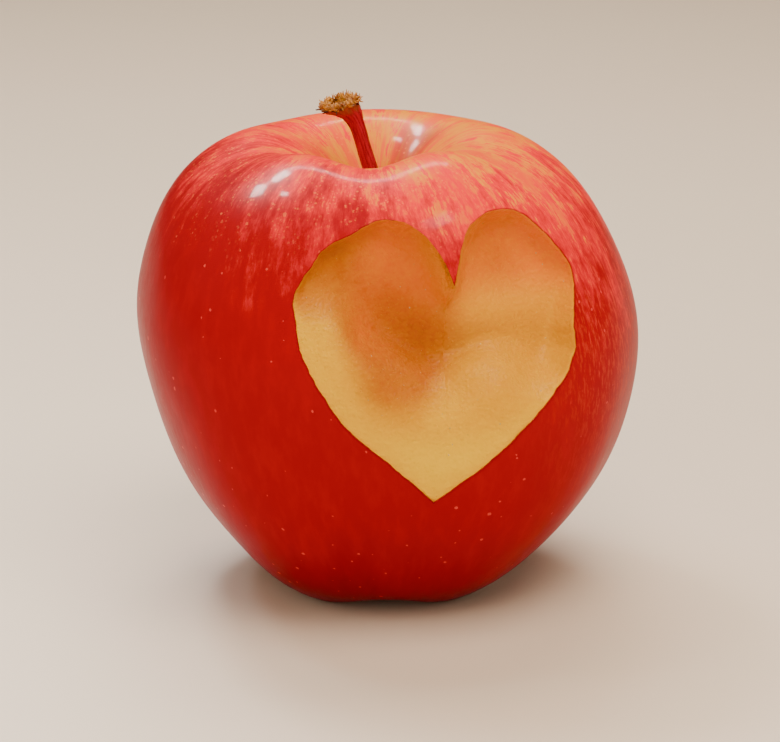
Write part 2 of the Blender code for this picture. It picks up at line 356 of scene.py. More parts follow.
def makeFruit(skin, flesh):
    rows, columns = fruitForm["rows"], fruitForm["columns"]
    step = 2 * np.pi / columns
    alongs = np.linspace(0, 1, rows + 1)
    angles = (np.arange(columns) - columns // 2) * step

    # the window of the grid that the heart's own rings fill
    edgeLine = heartEdge(400, 400)
    edgeAlong, edgeAngle = findOnFruit(edgeLine[:, 0], edgeLine[:, 1])
    top = int(edgeAlong.min() * rows) - 3
    bottom = int(edgeAlong.max() * rows) + 4
    left = int((edgeAngle.min() + np.pi) / step) - 3
    right = int((edgeAngle.max() + np.pi) / step) + 4
    notch = int(round((edgeAngle[0] + np.pi) / step))
    tip = int(round((edgeAngle[400] + np.pi) / step))

    vertices = [fruitSurface(0.0, 0.0), fruitSurface(1.0, 0.0)]
    place = [(0, 0, 0), (0, 0, 1)]
    number = {}
    for row in range(1, rows):
        ring = fruitSurface(alongs[row], angles)
        for column in range(columns):
            if top < row < bottom and left < column < right:
                continue
            number[row, column] = len(vertices)
            vertices.append(ring[column])
            place.append((math.sin(angles[column]), -math.cos(angles[column]), alongs[row]))
    faces = []
    for column in range(columns):
        after = (column + 1) % columns
        faces.append((0, number[1, column], number[1, after]))
        faces.append((1, number[rows - 1, after], number[rows - 1, column]))
        for row in range(1, rows - 1):
            if top <= row < bottom and left <= column < right:
                continue
            faces.append((number[row, column], number[row + 1, column],
                          number[row + 1, after], number[row, after]))

    # round the window: from above the notch, down the left side and up the right side
    leftWay = ([(top, c) for c in range(notch, left, -1)] + [(r, left) for r in range(top, bottom)]
               + [(bottom, c) for c in range(left, tip)])
    rightWay = ([(bottom, c) for c in range(tip, right)] + [(r, right) for r in range(bottom, top, -1)]
                + [(top, c) for c in range(right, notch, -1)])
    window = leftWay + rightWay
    windowAlong = np.array([alongs[r] for r, c in window])
    windowAngle = np.array([angles[c] for r, c in window])
    edge = heartEdge(len(leftWay), len(rightWay))
    edgeAlong, edgeAngle = findOnFruit(edge[:, 0], edge[:, 1])

    vertices, place = np.array(vertices), np.array(place)
    ringNumbers = [np.array([number[key] for key in window])]
    depthUnder = np.full(len(vertices), -9.0)       # under the skin; beside the cut it is below zero

    def addRing(points, along, angle, depth):
        nonlocal vertices, place, depthUnder
        ringNumbers.append(np.arange(len(points)) + len(vertices))
        vertices = np.concatenate((vertices, points))
        spot = np.column_stack((np.sin(angle), -np.cos(angle), along))
        place = np.concatenate((place, spot))
        depthUnder = np.concatenate((depthUnder, depth))

    edgePoints = fruitSurface(edgeAlong, edgeAngle)
    cutOut = np.array((0, -math.cos(cutForm["tilt"]), math.sin(cutForm["tilt"])))
    outer = cutForm["ringsOutside"]
    for ring in range(outer - 1, -1, -1):
        share = (ring / outer) ** 1.7
        along = edgeAlong + (windowAlong - edgeAlong) * share
        angle = edgeAngle + (windowAngle - edgeAngle) * share
        points = fruitSurface(along, angle)
        away = np.linalg.norm(points - edgePoints, axis=1)
        points = points + cutOut * (0.05 * smoothStep(0.5, 0.1, away) ** 2 * -1)[:, None]
        addRing(points, along, angle, -away)

    skinCount = len(vertices)
    middle = np.array(cutForm["middle"])
    rings = cutForm["rings"]
    shares = 1 - (np.arange(1, rings) / rings) ** 1.9
    spots = np.concatenate([middle + (edge - middle) * share for share in shares] + [middle[None]])
    along, angle = findOnFruit(spots[:, 0], spots[:, 1])
    skinOut = toCut(fruitSurface(along, angle))[2]
    depth, gap, band, wedge = cutDepth(spots[:, 0], spots[:, 1], skinOut, edge)
    # how far the flesh is browned and darkened with painted shade
    turned = browningAndShade(spots[:, 0], spots[:, 1], gap, band, wedge)
    spot3d = np.column_stack((spots, skinOut))
    dents = (cutForm["smallDents"] * roughness(spot3d, 0.8, 2.0)
             + cutForm["largeDents"] * roughness(spot3d, 3.5, 7.0))
    size = len(edge)
    depth = softenCut(depth + smoothStep(0.4, 1.6, gap) * dents, gap, size)
    points = fromCut(spots[:, 0], spots[:, 1], skinOut - depth)
    for ring in range(rings - 1):
        part = slice(ring * size, (ring + 1) * size)
        addRing(points[part], along[part], angle[part], depth[part])

    faceSlots = [0] * len(faces)
    for ring in range(len(ringNumbers) - 1):
        outside, inside = ringNumbers[ring], ringNumbers[ring + 1]
        for i in range(size):
            after = (i + 1) % size
            faces.append((int(outside[i]), int(outside[after]), int(inside[after]), int(inside[i])))
        faceSlots += [0 if ring < outer else 1] * size
    centre = len(vertices)
    vertices = np.concatenate((vertices, points[-1:]))
    place = np.concatenate((place, [(math.sin(angle[-1]), -math.cos(angle[-1]), along[-1])]))
    depthUnder = np.concatenate((depthUnder, depth[-1:]))
    last = ringNumbers[-1]
    for i in range(size):
        faces.append((int(last[i]), int(last[(i + 1) % size]), centre))
    faceSlots += [1] * size

    shift = (vertices.min(0) + vertices.max(0)) / 2
    shift[2] = 0
    fruit = newPiece("apple_fruit", vertices - shift, faces, (skin, flesh), faceSlots)
    addAttribute(fruit, "place", "FLOAT_VECTOR", place)
    addAttribute(fruit, "cutDepth", "FLOAT", depthUnder)
    addAttribute(fruit, "brownedAndShaded", "FLOAT", np.concatenate((np.zeros(skinCount), turned)))
    fruit.data.set_sharp_from_angle(angle=math.radians(38))
    return fruit, shift


def fill(tree, node, values):
    # another node's output is linked to the socket, anything else is set on it
    for key, value in values.items():
        if isinstance(value, bpy.types.NodeSocket):
            tree.links.new(value, node.inputs[key])
        else:
            node.inputs[key].default_value = value


def addNode(tree, kind, values=None, **settings):
    node = tree.nodes.new(kind)
    for key, value in settings.items():
        setattr(node, key, value)
    fill(tree, node, values or {})
    return node


def calc(tree, operation, a, b=0.0, c=0.0):
    return addNode(tree, "ShaderNodeMath", {0: a, 1: b, 2: c}, operation=operation).outputs[0]


def chain(tree, operation, *values):
    # one operation through several values, from left to right
    result = values[0]
    for value in values[1:]:
        result = calc(tree, operation, result, value)
    return result


def swing(tree, value, amount):
    # 0 to 1 becomes half the amount either way
    return calc(tree, "MULTIPLY_ADD", value, amount, -amount / 2)


def fade(tree, value, low, high, start=0.0, end=1.0):
    values = {"Value": value, "From Min": low, "From Max": high, "To Min": start, "To Max": end}
    return addNode(tree, "ShaderNodeMapRange", values, interpolation_type="SMOOTHSTEP").outputs[0]


def blend(tree, amount, first, second):
    return addNode(tree, "ShaderNodeMix", {0: amount, 6: first, 7: second}, data_type="RGBA").outputs[2]


def noiseAt(tree, position, perMetre, detail):
    values = {"Vector": position, "Scale": perMetre, "Detail": detail}
    return addNode(tree, "ShaderNodeTexNoise", values).outputs


def bumpFrom(tree, height, strength, distance):
    values = {"Strength": strength, "Distance": distance, "Height": height}
    return addNode(tree, "ShaderNodeBump", values).outputs[0]


def readPosition(tree):
    return addNode(tree, "ShaderNodeTexCoord").outputs["Object"]


def readAttribute(tree, name):
    return addNode(tree, "ShaderNodeAttribute", attribute_name=name).outputs


def newMaterial(name):
    material = bpy.data.materials.new(name)
    material.use_nodes = True
    shader = material.node_tree.nodes["Principled BSDF"]
    return material, material.node_tree, shader


def addInputs(tree, inputs):
    for label, kind, default in inputs:
        socket = tree.interface.new_socket(label, in_out="INPUT", socket_type=kind)
        if default is not None:
            socket.default_value = default


def newGroup(name, inputs, outputs):
    group = bpy.data.node_groups.new(name, "ShaderNodeTree")
    addInputs(group, inputs)
    for label, kind in outputs:
        group.interface.new_socket(label, in_out="OUTPUT", socket_type=kind)
    return group, group.nodes.new("NodeGroupInput").outputs, group.nodes.new("NodeGroupOutput").inputs


def placeGroup(tree, group, values):
    node = addNode(tree, "ShaderNodeGroup", node_tree=group)
    fill(tree, node, values)
    return node.outputs[0]


def makeStreaks():
    # streaks that run from stem to calyx, from the fruit's own round-and-along coordinates
    group, given, result = newGroup("lengthwiseStreaks", [
        ("Place", "NodeSocketVector", None), ("Across", "NodeSocketFloat", 40.0),
        ("Along", "NodeSocketFloat", 20.0), ("Softness", "NodeSocketFloat", 0.5)],
        [("Value", "NodeSocketFloat")])
    parts = addNode(group, "ShaderNodeSeparateXYZ", {0: given["Place"]}).outputs
    stretched = addNode(group, "ShaderNodeCombineXYZ", {
        0: calc(group, "MULTIPLY", parts[0], given["Across"]),
        1: calc(group, "MULTIPLY", parts[1], given["Across"]),
        2: calc(group, "MULTIPLY", parts[2], given["Along"])}).outputs[0]
    grain = addNode(group, "ShaderNodeTexNoise", {"Vector": stretched, "Scale": 1.0, "Detail": 4.0,
                                                  "Roughness": given["Softness"]})
    group.links.new(grain.outputs[0], result["Value"])
    return group


def makeSpots():
    # round pale pores of mixed sizes, scattered at random
    group, given, result = newGroup("pores", [
        ("Position", "NodeSocketVector", None), ("Per Metre", "NodeSocketFloat", 400.0),
        ("Size", "NodeSocketFloat", 0.12), ("Edge", "NodeSocketFloat", 0.06)],
        [("Mask", "NodeSocketFloat")])
    cells = addNode(group, "ShaderNodeTexVoronoi", {"Vector": given["Position"],
                                                    "Scale": given["Per Metre"]})
    pick = addNode(group, "ShaderNodeSeparateColor", {0: cells.outputs["Color"]}).outputs[0]
    reach = calc(group, "MULTIPLY", given["Size"], calc(group, "ADD", 0.45, pick))
    inside = fade(group, cells.outputs["Distance"], calc(group, "ADD", reach, given["Edge"]), reach)
    group.links.new(inside, result["Mask"])
    return group


def makeMottle():
    # cloudy patches with a soft threshold
    group, given, result = newGroup("mottling", [
        ("Position", "NodeSocketVector", None), ("Per Metre", "NodeSocketFloat", 100.0),
        ("Middle", "NodeSocketFloat", 0.5), ("Spread", "NodeSocketFloat", 0.15)],
        [("Mask", "NodeSocketFloat")])
    cloud = addNode(group, "ShaderNodeTexNoise", {"Vector": given["Position"], "Scale": given["Per Metre"],
                                                  "Detail": 5.0, "Roughness": 0.6})
    low = calc(group, "SUBTRACT", given["Middle"], given["Spread"])
    high = calc(group, "ADD", given["Middle"], given["Spread"])
    group.links.new(fade(group, cloud.outputs[0], low, high), result["Mask"])
    return group


streaks, pores, mottling = makeStreaks(), makeSpots(), makeMottle()


def streak(tree, place, across, along, softness):
    return placeGroup(tree, streaks, {"Place": place, "Across": across, "Along": along,
                                      "Softness": softness})


def spotted(tree, position, perMetre, size, edge):
    return placeGroup(tree, pores, {"Position": position, "Per Metre": perMetre, "Size": size,
                                    "Edge": edge})


def mottled(tree, position, perMetre, spread):
    return placeGroup(tree, mottling, {"Position": position, "Per Metre": perMetre, "Spread": spread})


skinLook = {
    "deepRed": (0.33, 0.0, 0.005, 1),
    "brightRed": (0.40, 0.0, 0.005, 1),
    "crimson": (0.19, 0.0, 0.005, 1),
    "paleStreak": (0.62, 0.035, 0.012, 1),
    # painted sheen and painted light: the pink of the shoulders under light from above and behind
    "sheenPink": (0.84, 0.018, 0.022, 1),
    "gold": (0.78, 0.25, 0.004, 1),
    "green": (0.62, 0.22, 0.004, 1),
    "pore": (0.72, 0.045, 0.035, 1),
    "shoulderPore": (0.88, 0.20, 0.03, 1),
    # painted shade along the lip of the cut
    "lipShade": (0.13, 0.0, 0.002, 1),
    "shine": {"Specular IOR Level": 0.01, "Coat Weight": 0.18, "Coat Roughness": 0.09, "Coat IOR": 1.14,
              "Subsurface Weight": 0.04, "Subsurface Radius": (1.0, 0.3, 0.15),
              "Subsurface Scale": 0.002},
}


def makeSkin():
    look = skinLook
    material, tree, shader = newMaterial("appleSkin")
    position = readPosition(tree)
    place = readAttribute(tree, "place")["Vector"]
    parts = addNode(tree, "ShaderNodeSeparateXYZ", {0: place}).outputs
    along = parts[2]
    broad = streak(tree, place, 6.0, 7.0, 0.5)
    wide = streak(tree, place, 18.0, 22.0, 0.65)
    fine = streak(tree, place, 60.0, 62.0, 0.75)
    patches = mottled(tree, position, 260.0, 0.2)

    def towards(x, y):
        # how much this part of the skin looks that way
        return calc(tree, "ADD", calc(tree, "MULTIPLY", parts[0], x), calc(tree, "MULTIPLY", parts[1], y))

    # how near the ground colour is: it shows round the hollow and further down on the +X side
    side = calc(tree, "ADD", towards(0.075, 0.03), fade(tree, towards(0.45, -0.89), 0.6, 1.0, 0.0, 0.045))
    reach = chain(tree, "ADD", calc(tree, "SUBTRACT", side, along),
                  swing(tree, broad, 0.34), swing(tree, wide, 0.26))
    flecked = chain(tree, "ADD", reach, swing(tree, fine, 0.55), swing(tree, wide, 0.20),
                    swing(tree, patches, 0.14))
    ground = fade(tree, flecked, -0.21, -0.11)
    # painted sheen and painted light: the skin turns pink towards the stem hollow, over the shoulders
    shoulderSheen = chain(tree, "ADD", reach, swing(tree, patches, 0.07), swing(tree, fine, 0.22))
    shoulderSheen = fade(tree, shoulderSheen, -0.38, -0.17)

    # the reds, darker towards the basin and streaked with pale on the +X side
    red = blend(tree, fade(tree, wide, 0.42, 0.72, 0.0, 0.7), look["deepRed"], look["brightRed"])
    red = blend(tree, fade(tree, calc(tree, "MULTIPLY_ADD", broad, 0.2, along), 0.72, 1.0),
                red, look["crimson"])
    paleStreaked = chain(tree, "MULTIPLY", fade(tree, parts[0], 0.25, 0.85),
                    fade(tree, fine, 0.47, 0.62, 0.0, 0.7), fade(tree, along, 0.72, 0.45))
    red = blend(tree, paleStreaked, red, look["paleStreak"])
    # painted sheen: the pink laid over the reds towards the top
    colour = blend(tree, shoulderSheen, red, look["sheenPink"])

    # gold flecks that turn green in the hollow, a red patch in its back wall, gold in the basin
    gold = blend(tree, fade(tree, along, 0.10, 0.03), look["gold"], look["green"])
    reddened = calc(tree, "MULTIPLY", fade(tree, wide, 0.50, 0.62, 1.0, 0.5),
                    fade(tree, broad, 0.48, 0.60, 1.0, 0.35))
    colour = blend(tree, calc(tree, "MULTIPLY", ground, reddened), colour, gold)
    redPatch = chain(tree, "MULTIPLY", fade(tree, along, 0.15, 0.11),
                     fade(tree, towards(0.82, 0.57), 0.90, 0.99), fade(tree, along, 0.03, 0.06, 0.0, 0.7))
    colour = blend(tree, redPatch, colour, look["brightRed"])
    basin = fade(tree, calc(tree, "MULTIPLY_ADD", wide, 0.16, along), 1.00, 1.09, 0.0, 0.75)
    colour = blend(tree, basin, colour, look["gold"])

    # pores: faint and far apart on the cheeks, fine and crowded on the shoulder
    crooked = noiseAt(tree, position, 1500.0, 1.0)[1]
    bent = addNode(tree, "ShaderNodeVectorMath", {0: crooked, 1: (0.0004, 0.0004, 0.0004), 2: position},
                   operation="MULTIPLY_ADD").outputs[0]
    big = spotted(tree, bent, 400.0, 0.070, 0.035)
    small = spotted(tree, bent, 1500.0, 0.20, 0.16)
    crowded = calc(tree, "MULTIPLY", fade(tree, along, 0.40, 0.2), fade(tree, wide, 0.42, 0.60))
    smallMask = calc(tree, "MULTIPLY", small, calc(tree, "MULTIPLY", crowded, 0.5))
    bigMask = calc(tree, "MULTIPLY", big, fade(tree, along, 0.22, 0.42, 0.35, 0.85))
    dots = calc(tree, "MAXIMUM", bigMask, smallMask)
    pore = blend(tree, fade(tree, along, 0.36, 0.22), look["pore"], look["shoulderPore"])
    colour = blend(tree, dots, colour, pore)
    # painted shade: the skin darkens within half a millimetre of the cut edge, where it rounds down into
    # the cut
    beside = readAttribute(tree, "cutDepth")["Fac"]
    colour = blend(tree, fade(tree, beside, -0.45, -0.03, 0.0, 0.6), colour, look["lipShade"])

    rough = addNode(tree, "ShaderNodeMapRange", {"Value": fine, "From Min": 0.3, "From Max": 0.7,
                                                 "To Min": 0.30, "To Max": 0.42}).outputs[0]
    height = chain(tree, "ADD", calc(tree, "MULTIPLY", noiseAt(tree, position, 2600.0, 2.0)[0], 0.10),
                   calc(tree, "MULTIPLY", noiseAt(tree, position, 240.0, 2.0)[0], 0.9),
                   calc(tree, "MULTIPLY", dots, 0.12))
    fill(tree, shader, {"Base Color": colour, "Roughness": rough,
                        "Normal": bumpFrom(tree, height, 0.35, 0.0002), **look["shine"]})
    return material


fleshLook = {
    "light": (0.74, 0.345, 0.0, 1),
    "high": (0.72, 0.098, 0.0, 1),           # browned and darkened with painted shade, in the upper part
    "low": (0.44, 0.092, 0.0, 1),            # and in the lower part, and as painted shade on the left
    "core": (0.37, 0.070, 0.0, 1),           # painted shade, at its deepest
    # the grain's colour, also used as painted light towards the tip
    "grain": (0.88, 0.50, 0.0, 1),
    "underSkin": (0.78, 0.40, 0.002, 1),
    "skinEdge": (0.36, 0.01, 0.004, 1),
    "shine": {"Specular IOR Level": 0.1, "Subsurface Weight": 0.18,
              "Subsurface Radius": (0.9, 0.6, 0.2), "Subsurface Scale": 0.003},
}


def makeFlesh():
    look = fleshLook
    material, tree, shader = newMaterial("appleFlesh")
    position = readPosition(tree)
    depth = readAttribute(tree, "cutDepth")["Fac"]
    clouds = mottled(tree, position, 90.0, 0.25)
    cells = mottled(tree, position, 1300.0, 0.2)
    specks = spotted(tree, position, 1700.0, 0.16, 0.10)
    # browning and painted shade, read from the mesh and broken up by clouds
    turned = calc(tree, "MULTIPLY", readAttribute(tree, "brownedAndShaded")["Fac"],
                  calc(tree, "MULTIPLY_ADD", clouds, 0.25, 0.8))

    # pale flesh, palest at the tip with painted light, and browned flesh with painted shade, darkest where
    # the cut is deep
    spot = addNode(tree, "ShaderNodeSeparateXYZ", {0: position}).outputs
    # painted light: towards the low tip of the heart, which faces up into the light, the flesh turns to the
    # palest colour
    pale = blend(tree, fade(tree, spot[2], 0.036, 0.028), look["light"], look["grain"])
    # darker in the lower part, and painted shade on the left side of the heart
    darkerLowAndLeft = calc(tree, "MAXIMUM", fade(tree, spot[2], 0.053, 0.043), fade(tree, spot[0], -0.006, -0.014))
    brown = blend(tree, darkerLowAndLeft, look["high"], look["low"])
    colour = blend(tree, turned, pale, brown)
    # painted shade: the browned flesh darkens where the cut is deep
    core = calc(tree, "MULTIPLY", fade(tree, depth, 5.5, 9.5, 0.0, 0.8), turned)
    colour = blend(tree, core, colour, look["core"])

    # its grain, and the edge under the skin
    for marks, change, most in ((cells, -0.08, 0.14), (specks, -0.14, 0.2)):
        amount = calc(tree, "MULTIPLY", marks, calc(tree, "MULTIPLY_ADD", turned, change, most))
        colour = blend(tree, amount, colour, look["grain"])
    rim = calc(tree, "MULTIPLY", fade(tree, depth, 1.3, 0.5), calc(tree, "MULTIPLY_ADD", turned, -0.5, 0.7))
    colour = blend(tree, rim, colour, look["underSkin"])
    skinEdge = fade(tree, depth, cutForm["skin"] * 1.05, cutForm["skin"] * 0.85)
    colour = blend(tree, skinEdge, colour, look["skinEdge"])

    wet = addNode(tree, "ShaderNodeMapRange", {"Value": cells, "To Min": 0.34, "To Max": 0.55}).outputs[0]
    grain = addNode(tree, "ShaderNodeTexVoronoi", {"Vector": position, "Scale": 2100.0},
                    feature="SMOOTH_F1").outputs["Distance"]
    height = chain(tree, "ADD", grain, noiseAt(tree, position, 900.0, 3.0)[0],
                   calc(tree, "MULTIPLY", specks, 0.5))
    fill(tree, shader, {"Base Color": colour, "Roughness": wet,
                        "Normal": bumpFrom(tree, height, 0.6, 0.00022), **look["shine"]})
    return material


def newGrowth(name, inputs):
    # a Geometry Nodes tree with named inputs
    tree = bpy.data.node_groups.new(name, "GeometryNodeTree")
    tree.interface.new_socket("Geometry", in_out="INPUT", socket_type="NodeSocketGeometry")
    addInputs(tree, inputs)
    tree.interface.new_socket("Geometry", in_out="OUTPUT", socket_type="NodeSocketGeometry")
    return tree, tree.nodes.new("NodeGroupInput").outputs, tree.nodes.new("NodeGroupOutput").inputs


def grow(base, tree, values, name):
    # what the tree makes on this piece, as a plain mesh of its own
    modifier = base.modifiers.new(tree.name, "NODES")
    modifier.node_group = tree
    for item in tree.interface.items_tree:
        if item.in_out == "INPUT" and item.name in values:
            modifier[item.identifier] = values[item.name]
    graph = bpy.context.evaluated_depsgraph_get()
    mesh = bpy.data.meshes.new_from_object(base.evaluated_get(graph))
    base.modifiers.remove(modifier)
    mesh.name = name
    mesh.shade_smooth()
    return addObject(name, mesh)


def setOut(tree, given, result, points, piece, rotation, size):
    # the piece on every point, as real mesh of the material given
    placed = addNode(tree, "GeometryNodeInstanceOnPoints", {
        "Points": points, "Instance": piece, "Rotation": rotation, "Scale": size}).outputs[0]
    made = addNode(tree, "GeometryNodeRealizeInstances", {0: placed}).outputs[0]
    if "Place" in given:
        made = addNode(tree, "GeometryNodeSetPosition", {
            "Geometry": made, "Offset": given["Place"]}).outputs[0]
    shown = addNode(tree, "GeometryNodeSetMaterial", {"Geometry": made, "Material": given["Material"]})
    tree.links.new(shown.outputs[0], result["Geometry"])


juiceForm = {
    "spacing": 1.5,              # least distance between beads of juice, mm
    "perSquareMm": 0.22,
    "smallest": 0.03,            # half-widths, mm
    "largest": 0.11,
    "flatness": 0.6,
    "clear": (1.0, 0.82, 0.45, 1),
    "golden": (1.0, 0.70, 0.28, 1),
    "shine": {"Roughness": 0.06, "IOR": 1.35, "Transmission Weight": 0.6},
}


def makeJuice():
    # wet and nearly clear, a little warmer than water
    material, tree, shader = newMaterial("juice")
    tint = mottled(tree, readPosition(tree), 500.0, 0.2)
    colour = blend(tree, tint, juiceForm["clear"], juiceForm["golden"])
    fill(tree, shader, {"Base Color": colour, **juiceForm["shine"]})
    return material


def makeBeadTree():
    # flattened beads that sit on the cut face, apart from each other
    tree, given, result = newGrowth("beads", [
        ("Spacing", "NodeSocketFloat", 0.001), ("Density", "NodeSocketFloat", 1e6),
        ("Smallest", "NodeSocketFloat", 0.00003), ("Largest", "NodeSocketFloat", 0.0001),
        ("Flatness", "NodeSocketFloat", 0.6), ("Seed", "NodeSocketInt", 2),
        ("Material", "NodeSocketMaterial", None)])
    onCut = addNode(tree, "GeometryNodeInputNamedAttribute", {0: "cutDepth"}, data_type="FLOAT").outputs[0]
    inside = addNode(tree, "FunctionNodeCompare", {0: onCut, 1: 1.2}, data_type="FLOAT",
                     operation="GREATER_THAN").outputs[0]
    points = addNode(tree, "GeometryNodeDistributePointsOnFaces", {
        "Mesh": given["Geometry"], "Selection": inside, "Distance Min": given["Spacing"],
        "Density Max": given["Density"], "Seed": given["Seed"]}, distribute_method="POISSON").outputs
    bead = addNode(tree, "GeometryNodeMeshIcoSphere", {"Radius": 1.0, "Subdivisions": 2}).outputs["Mesh"]
    pick = addNode(tree, "FunctionNodeRandomValue", {"Seed": given["Seed"]}, data_type="FLOAT").outputs[1]
    rare = calc(tree, "POWER", pick, 4.0)
    reach = calc(tree, "SUBTRACT", given["Largest"], given["Smallest"])
    radius = calc(tree, "MULTIPLY_ADD", rare, reach, given["Smallest"])
    size = addNode(tree, "ShaderNodeCombineXYZ", {
        0: radius, 1: calc(tree, "MULTIPLY", radius, 1.35),
        2: calc(tree, "MULTIPLY", radius, given["Flatness"])}).outputs[0]
    setOut(tree, given, result, points["Points"], bead, points["Rotation"], size)
    return tree


stemForm = {
    # middle and half-widths across and in depth, mm, from the bottom of the hollow to the broken top
    "rings": [(-1.5, 59.0, 1.5, 1.5), (-1.85, 61.5, 1.16, 1.16), (-2.65, 64.6, 1.15, 1.12),
              (-3.68, 68.1, 1.10, 1.08), (-4.4, 70.5, 1.22, 1.15), (-5.05, 71.8, 1.50, 1.35),
              (-5.75, 72.7, 2.00, 1.65), (-6.6, 73.4, 2.50, 1.95), (-7.05, 73.9, 2.85, 2.15)],
    "turn": math.radians(-12),   # it leans towards -X, a little to the back
    "topSlope": 0.22,            # the broken face drops towards its -X side
    "topTilt": 0.22,             # and towards the front
    "hollow": 1.0,
    "lines": 13,                 # raised lines along it
    "around": 78,
    "steps": 110,
    "capRings": 16,
    "crumbs": 30.0,              # flakes on each square mm of the broken face
    "crumbLength": 0.75,
    "crumbWidth": 0.20,
    "lineHeight": 0.035,         # as a share of the stem's half-width
    "waveHeight": 0.03,
    "ragged": 0.22,              # bumps on the broken face, mm
    "rimRise": 0.35,
}

stemLook = {
    "crimson": (0.36, 0.001, 0.012, 1),
    "dark": (0.21, 0.001, 0.006, 1),
    "brown": (0.24, 0.05, 0.012, 1),
    "crustPale": (0.80, 0.34, 0.02, 1),
    "crustBrown": (0.30, 0.07, 0.004, 1),
    # painted shade in the hollow of the broken face
    "crustShade": (0.05, 0.008, 0.002, 1),
    "specular": 0.15,
}


def makeStemBark():
    look = stemLook
    material, tree, shader = newMaterial("stemBark")
    place = readAttribute(tree, "place")["Vector"]
    along = addNode(tree, "ShaderNodeSeparateXYZ", {0: place}).outputs[2]
    lines = streak(tree, place, 5.0, 5.0, 0.6)
    threads = streak(tree, place, 13.0, 9.0, 0.7)
    colour = blend(tree, fade(tree, lines, 0.38, 0.62), look["dark"], look["crimson"])
    dry = calc(tree, "MULTIPLY_ADD", threads, 0.25, along)
    colour = blend(tree, fade(tree, dry, 1.00, 1.13), colour, look["brown"])
    colour = blend(tree, fade(tree, along, 0.16, 0.05, 0.0, 0.7), colour, look["brown"])
    fill(tree, shader, {"Base Color": colour, "Roughness": fade(tree, threads, 0.3, 0.7, 0.42, 0.65),
                        "Normal": bumpFrom(tree, calc(tree, "ADD", lines, threads), 0.6, 0.00015),
                        "Specular IOR Level": look["specular"]})
    return material


def makeCrust(name, pale, brown, dark):
    # dry plant crust: pale ends, brown between, and painted shade that darkens it in the hollows
    material, tree, shader = newMaterial(name)
    position = readPosition(tree)
    unshaded = readAttribute(tree, "crustAndShade")["Fac"]
    specks = mottled(tree, position, 3200.0, 0.2)
    colour = blend(tree, mottled(tree, position, 900.0, 0.16), brown, pale)
    colour = blend(tree, calc(tree, "MULTIPLY", specks, 0.4), colour, brown)
    # painted shade: dark where the crust value is low, in the hollows
    colour = blend(tree, fade(tree, unshaded, 0.55, 0.05), colour, dark)
    fill(tree, shader, {"Base Color": colour, "Roughness": fade(tree, specks, 0.0, 1.0, 0.7, 0.9),
                        "Normal": bumpFrom(tree, specks, 0.7, 0.0002), "Specular IOR Level": 0.2})
    return material


def makeCrumbTree():
    # flakes that stand up at random from a broken face
    tree, given, result = newGrowth("crumbs", [
        ("Crumbs", "NodeSocketFloat", 20.0), ("Length", "NodeSocketFloat", 0.8),
        ("Width", "NodeSocketFloat", 0.15), ("Splay", "NodeSocketFloat", 0.9),
        ("Seed", "NodeSocketInt", 3), ("Material", "NodeSocketMaterial", None)])
    amount = addNode(tree, "GeometryNodeInputNamedAttribute", {0: "crustAndShade"}, data_type="FLOAT").outputs[0]
    density = calc(tree, "MULTIPLY", amount, given["Crumbs"])
    spread = addNode(tree, "GeometryNodeDistributePointsOnFaces", {
        "Mesh": given["Geometry"], "Density": density, "Seed": given["Seed"]}).outputs
    flake = addNode(tree, "GeometryNodeMeshCone", {
        "Vertices": 5, "Side Segments": 2, "Radius Top": calc(tree, "MULTIPLY", given["Width"], 0.35),
        "Radius Bottom": given["Width"], "Depth": given["Length"]}).outputs["Mesh"]
    most = addNode(tree, "ShaderNodeCombineXYZ", {0: given["Splay"], 1: given["Splay"], 2: 3.1}).outputs[0]
    least = addNode(tree, "ShaderNodeVectorMath", {0: most, 3: -1.0}, operation="SCALE").outputs[0]
    lean = addNode(tree, "FunctionNodeRandomValue", {0: least, 1: most, "Seed": given["Seed"]},
                   data_type="FLOAT_VECTOR").outputs[0]
    leaning = addNode(tree, "FunctionNodeEulerToRotation", {0: lean}).outputs[0]
    turned = addNode(tree, "FunctionNodeRotateRotation", {
        "Rotation": spread["Rotation"], "Rotate By": leaning}, rotation_space="LOCAL").outputs[0]
    size = addNode(tree, "FunctionNodeRandomValue", {0: (0.5, 0.5, 0.35), 1: (1.5, 0.8, 1.3), "Seed": 11},
                   data_type="FLOAT_VECTOR").outputs[0]
    setOut(tree, given, result, spread["Points"], flake, turned, size)
    return tree


